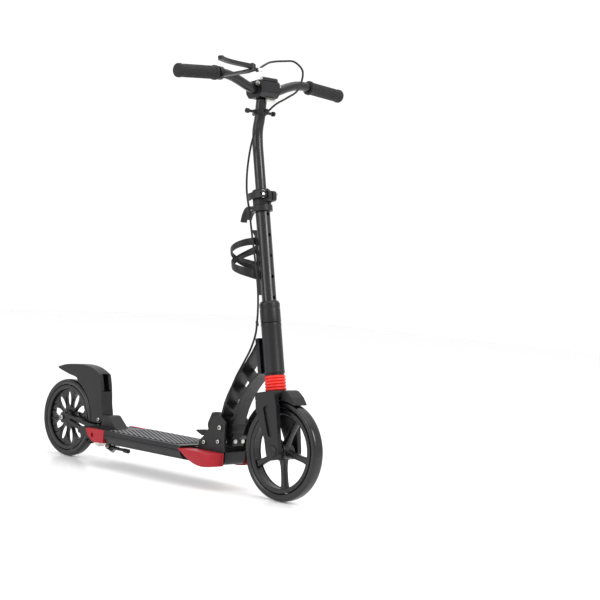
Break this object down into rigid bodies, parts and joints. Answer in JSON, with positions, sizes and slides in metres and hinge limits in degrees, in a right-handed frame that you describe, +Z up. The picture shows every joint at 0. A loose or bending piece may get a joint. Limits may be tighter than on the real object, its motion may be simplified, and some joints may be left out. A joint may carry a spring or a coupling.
{
  "type": "kick scooter",
  "caption": "Folding kick scooter: large front wheel with sprung fork, curved truss neck, telescopic T-bar with hand brake, slim deck, foot-brake fender, kickstand and bottle cage.",
  "frame": {"origin": "on the ground, midway between the front of the front tyre and the back of the rear tyre, in the middle plane", "axes": "+X forward, +Y to the rider's left, +Z up"},
  "size_m": [1.0049, 0.5322, 1.0177],
  "materials": {
    "black_paint": "semi-gloss black powder coat",
    "black_satin": "satin black with a metallic sheen",
    "black_plastic": "fine moulded texture",
    "red_plastic": "dark red moulded plastic, satin",
    "red_rubber": "bright red soft rubber",
    "black_rubber": "matt rubber",
    "tyre": "smooth polyurethane tyre",
    "grip_tape": "striped anti-slip sheet",
    "steel": "zinc plated",
    "brass": "plain brass button"
  },
  "bodies": {
    "deck": {"deck_board": "black_paint", "grip_sheet": "grip_tape", "front_cap_right": "red_plastic", "front_cap_left": "red_plastic", "rear_cap_right": "red_plastic", "rear_cap_left": "red_plastic", "fold_base": "black_paint", "fold_plate_right": "black_paint", "fold_plate_left": "black_paint", "fold_pivot_bolt": "steel", "fold_plate_bolt_front": "steel", "fold_plate_bolt_rear": "steel", "rear_block": "black_paint", "fender_pivot_pin": "steel", "dropout_right": "black_paint", "dropout_left": "black_paint", "rear_axle": "steel", "kickstand_bracket": "steel", "brake_bracket": "steel", "brake_cable_lower": "black_rubber"},
    "fold_pedal": {"fold_pedal": "black_plastic"},
    "rear_wheel": {"rear_rim": "black_satin", "rear_tyre": "tyre", "rear_bearing": "steel"},
    "rear_fender": {"rear_fender": "black_plastic"},
    "kickstand": {"kickstand_leg": "black_paint"},
    "brake_arm": {"brake_arm": "steel", "brake_shoe": "black_rubber"},
    "neck": {"neck_frame": "black_paint", "neck_bolt_right": "steel", "neck_bolt_left": "steel", "head_tube": "black_paint", "lower_bearing": "steel", "upper_bearing": "steel"},
    "stem": {"steering_sleeve": "black_paint", "lower_stem_tube": "black_satin", "clamp_collar": "black_plastic", "clamp_skewer": "steel", "fold_hook": "black_plastic", "bottle_cage": "black_plastic"},
    "clamp_lever": {"clamp_lever": "black_plastic"},
    "fork": {"fork": "black_paint", "front_axle": "steel", "front_fender": "black_plastic", "suspension_bellows": "red_rubber", "suspension_spring": "steel"},
    "front_wheel": {"front_rim": "black_satin", "front_tyre": "tyre", "front_bearing": "steel"},
    "t_bar": {"upper_stem_tube": "black_satin", "bar_clamp": "black_paint", "bar_clamp_bolt": "steel", "accessory_collar": "black_plastic", "handlebar": "black_satin", "grip_right": "black_rubber", "grip_left": "black_rubber", "brake_perch": "black_paint", "brake_cable_upper": "black_rubber"},
    "snap_button": {"snap_button": "brass"},
    "brake_lever": {"brake_lever": "black_plastic"}
  },
  "joints": [
    {"name": "fold", "type": "hinge", "parent": "deck", "child": "neck", "pos_m": [0.2116, 0, 0.1484], "axis": [0, -1, 0], "range_deg": [0, 80], "deforming": ["brake_cable_lower"]},
    {"name": "steering", "type": "hinge", "parent": "neck", "child": "stem", "pos_m": [0.34205, 0, 0.288], "axis": [-0.2007, 0, 0.9796], "range_deg": [-60, 60], "deforming": ["brake_cable_upper"]},
    {"name": "suspension", "type": "slide", "parent": "stem", "child": "fork", "axis": [-0.2007, 0, 0.9796], "range_m": [0, 0.015], "stiffness_N_per_m": 20000, "springref_m": -0.003, "deforming": ["suspension_bellows", "suspension_spring"]},
    {"name": "front_wheel_spin", "type": "hinge", "parent": "fork", "child": "front_wheel", "pos_m": [0.3875, 0, 0.115], "axis": [0, 1, 0], "continuous": true},
    {"name": "bar_height", "type": "slide", "parent": "stem", "child": "t_bar", "axis": [-0.2007, 0, 0.9796], "range_m": [-0.098, 0.098]},
    {"name": "snap_button", "type": "slide", "parent": "t_bar", "child": "snap_button", "axis": [0.9796, 0, 0.2007], "range_m": [0, 0.003]},
    {"name": "brake_lever", "type": "hinge", "parent": "t_bar", "child": "brake_lever", "pos_m": [0.31916, -0.115, 0.98254], "axis": [0.2007, 0, -0.9796], "range_deg": [0, 18], "stiffness_Nm_per_rad": 0.6, "springref_deg": -17.19},
    {"name": "clamp_lever", "type": "hinge", "parent": "stem", "child": "clamp_lever", "pos_m": [0.28597, -0.0216, 0.70115], "axis": [-0.2007, 0, 0.9796], "range_deg": [0, 95]},
    {"name": "rear_wheel_spin", "type": "hinge", "parent": "deck", "child": "rear_wheel", "pos_m": [-0.4025, 0, 0.1], "axis": [0, 1, 0], "continuous": true},
    {"name": "foot_brake", "type": "hinge", "parent": "deck", "child": "rear_fender", "pos_m": [-0.264, 0, 0.11], "axis": [0, -1, 0], "range_deg": [0, 2.5], "stiffness_Nm_per_rad": 1.5, "springref_deg": -11.46},
    {"name": "kickstand", "type": "hinge", "parent": "deck", "child": "kickstand", "pos_m": [-0.178, -0.046, 0.051], "axis": [0, 0.9063, -0.4226], "range_deg": [0, 85]},
    {"name": "fold_pedal", "type": "hinge", "parent": "deck", "child": "fold_pedal", "pos_m": [0.1716, 0, 0.1224], "axis": [0, -1, 0], "range_deg": [0, 12], "stiffness_Nm_per_rad": 0.5, "springref_deg": -17.19},
    {"name": "rear_brake", "type": "hinge", "parent": "deck", "child": "brake_arm", "pos_m": [-0.275, 0, 0.057], "axis": [0, 1, 0], "range_deg": [0, 5.5]}
  ],
  "couplings": [
    {"joint": "rear_brake", "follows": "brake_lever", "ratio": 0.3}
  ]
}
